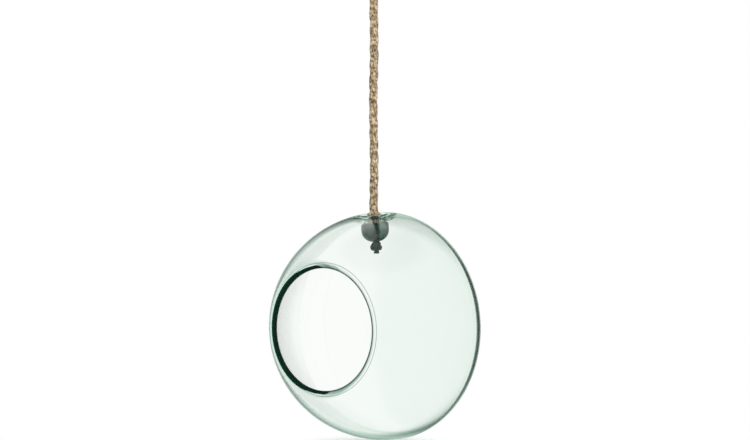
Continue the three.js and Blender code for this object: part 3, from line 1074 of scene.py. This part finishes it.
def camera():
    """A level camera, in front of the mouth and to one side."""
    lens = bpy.data.cameras.new("camera")
    lens.lens = CAMERA_LENS
    lens.sensor_width = SENSOR_WIDTH
    eye = bpy.data.objects.new("camera", lens)
    back = Vector((math.sin(VIEW_AZIMUTH), -math.cos(VIEW_AZIMUTH), 0))
    right = Vector((math.cos(VIEW_AZIMUTH), math.sin(VIEW_AZIMUTH), 0))
    eye.location = back * CAMERA_DISTANCE + right * CAMERA_SIDE + Vector((0, 0, globe_height + CAMERA_RISE))
    eye.rotation_euler = (math.pi / 2, 0, VIEW_AZIMUTH)
    scene.collection.objects.link(eye)
    scene.camera = eye


def soft_lamp():
    """A soft lamp, which the glass doesn't show."""
    lamp = bpy.data.lights.new("key_lamp", "AREA")
    lamp.shape = "DISK"
    lamp.size = LAMP_SIZE
    lamp.energy = LAMP_WATTS
    holder = bpy.data.objects.new("key_lamp", lamp)
    holder.location = LAMP_PLACE
    aim = Vector((0, 0, globe_height + LAMP_AIM)) - Vector(LAMP_PLACE)
    holder.rotation_euler = aim.to_track_quat("-Z", "Y").to_euler()
    holder.visible_glossy = False
    holder.visible_transmission = False
    scene.collection.objects.link(holder)


def gap_and_room(tree, right, up, ahead):
    """The gap's tone, darker towards its end, and the bright room beyond it.

    The ramp's alpha holds the gap's reach as a share of a right angle.
    """
    turn = add_node(tree, "ShaderNodeMapRange", From_Min=-math.pi, From_Max=math.pi)
    tree.links.new(maths(tree, "ARCTAN2", up, right), turn.inputs["Value"])
    ramp = add_node(tree, "ShaderNodeValToRGB")
    stops = ramp.color_ramp.elements
    for place, tone, reach in GAP[1:-1]:
        stops.new(place).color = (*tone, reach / 90)
    for stop, (_, tone, reach) in ((stops[0], GAP[0]), (stops[len(stops) - 1], GAP[-1])):
        stop.color = (*tone, reach / 90)
    tree.links.new(turn.outputs["Result"], ramp.inputs["Fac"])
    reach = maths(tree, "MULTIPLY", ramp.outputs["Alpha"], math.pi / 2)
    share = maths(tree, "DIVIDE", maths(tree, "ARCCOSINE", ahead, 0.0), reach)
    wide = share_between(tree, reach, *WIDE_GAP)
    towards_end = maths(tree, "MULTIPLY", share_between(tree, share, *GAP_END), wide)
    darker = maths(tree, "MULTIPLY", towards_end, GAP_END_SHARE)
    tone = mixed(tree, darker, ramp.outputs["Color"], GAP_END_TONE)
    return mixed(tree, share_between(tree, share, *ROOM_EDGE), tone, ROOM_LIGHT)


def studio_world():
    """A white backdrop behind the object and a bright room in front of it, with a dim gap between the two.

    All of it turns with the camera. The camera sees white everywhere, and so do rays that pass straight
    through the glass. Rays that the glass mirrors or bends far see the backdrop, the gap or the room.
    """
    world = bpy.data.worlds.new("studio")
    world.use_nodes = True
    scene.world = world
    tree = world.node_tree
    tree.nodes.clear()
    link = tree.links.new
    path = add_node(tree, "ShaderNodeLightPath")
    direction = add_node(tree, "ShaderNodeTexCoord").outputs["Camera"]
    right = along_axis(tree, direction, (1, 0, 0))
    up = along_axis(tree, direction, (0, 1, 0))
    ahead = along_axis(tree, direction, (0, 0, 1))
    backdrop = within(tree, ahead, BACKDROP_EDGE)
    screen = within(tree, along_axis(tree, direction, SCREEN_PLACE), SCREEN_EDGE)
    around = mixed(tree, backdrop, gap_and_room(tree, right, up, ahead), ROOM_LIGHT)
    around = mixed(tree, screen, around, SCREEN_TONE)
    ceiling = mixed(tree, path.outputs["Is Diffuse Ray"], MIRRORED_CEILING, CEILING_TONE)
    around = mixed(tree, share_between(tree, up, *CEILING_EDGE), around, ceiling)
    clear = within(tree, ahead, CLEAR_VIEW_EDGE)
    unmirrored = maths(tree, "LESS_THAN", path.outputs["Glossy Depth"], 0.5)
    through = maths(tree, "MULTIPLY", path.outputs["Is Transmission Ray"], unmirrored)
    straight = maths(tree, "MULTIPLY", through, clear)
    seen = maths(tree, "MAXIMUM", path.outputs["Is Camera Ray"], straight)
    background = add_node(tree, "ShaderNodeBackground", Strength=1.0)
    output = add_node(tree, "ShaderNodeOutputWorld")
    link(mixed(tree, seen, around, (1, 1, 1)), background.inputs["Color"])
    link(background.outputs["Background"], output.inputs["Surface"])


def floor():
    """A pale floor under the globe. It fades into the white around it, and the glass does not show it."""
    bpy.ops.object.select_all(action="DESELECT")
    bpy.ops.mesh.primitive_circle_add(
        vertices=FLOOR_STEPS, radius=FLOOR_RADIUS, fill_type="NGON",
        location=(0, equator_y, globe_low.z - FLOOR_GAP),
    )
    ground = bpy.context.object
    ground.name = "floor"
    material, tree, shader, output = new_material("pale_floor")
    link = tree.links.new
    tree.nodes.remove(shader)
    path = add_node(tree, "ShaderNodeLightPath")
    place = add_node(tree, "ShaderNodeTexCoord")
    distance = add_node(tree, "ShaderNodeVectorMath", operation="LENGTH")
    link(place.outputs["Object"], distance.inputs[0])
    edge = share_between(tree, distance.outputs["Value"], *FLOOR_FADE)
    mirrored = maths(tree, "GREATER_THAN", path.outputs["Glossy Depth"], 0.5)
    in_glass = maths(tree, "MAXIMUM", mirrored, path.outputs["Is Transmission Ray"])
    hidden = maths(tree, "MAXIMUM", edge, in_glass)
    lit = add_node(tree, "ShaderNodeBsdfDiffuse", Color=(*FLOOR_TONE, 1))
    glow = add_node(tree, "ShaderNodeEmission")
    link(maths(tree, "MULTIPLY", path.outputs["Is Camera Ray"], FLOOR_GLOW), glow.inputs["Strength"])
    clear = add_node(tree, "ShaderNodeBsdfTransparent")
    both = add_node(tree, "ShaderNodeAddShader")
    mix = add_node(tree, "ShaderNodeMixShader")
    link(lit.outputs["BSDF"], both.inputs[0])
    link(glow.outputs["Emission"], both.inputs[1])
    link(hidden, mix.inputs["Fac"])
    link(both.outputs["Shader"], mix.inputs[1])
    link(clear.outputs["BSDF"], mix.inputs[2])
    link(mix.outputs["Shader"], output.inputs["Surface"])
    ground.data.materials.append(material)


camera()
soft_lamp()
studio_world()
floor()
scene.view_settings.view_transform = "Standard"
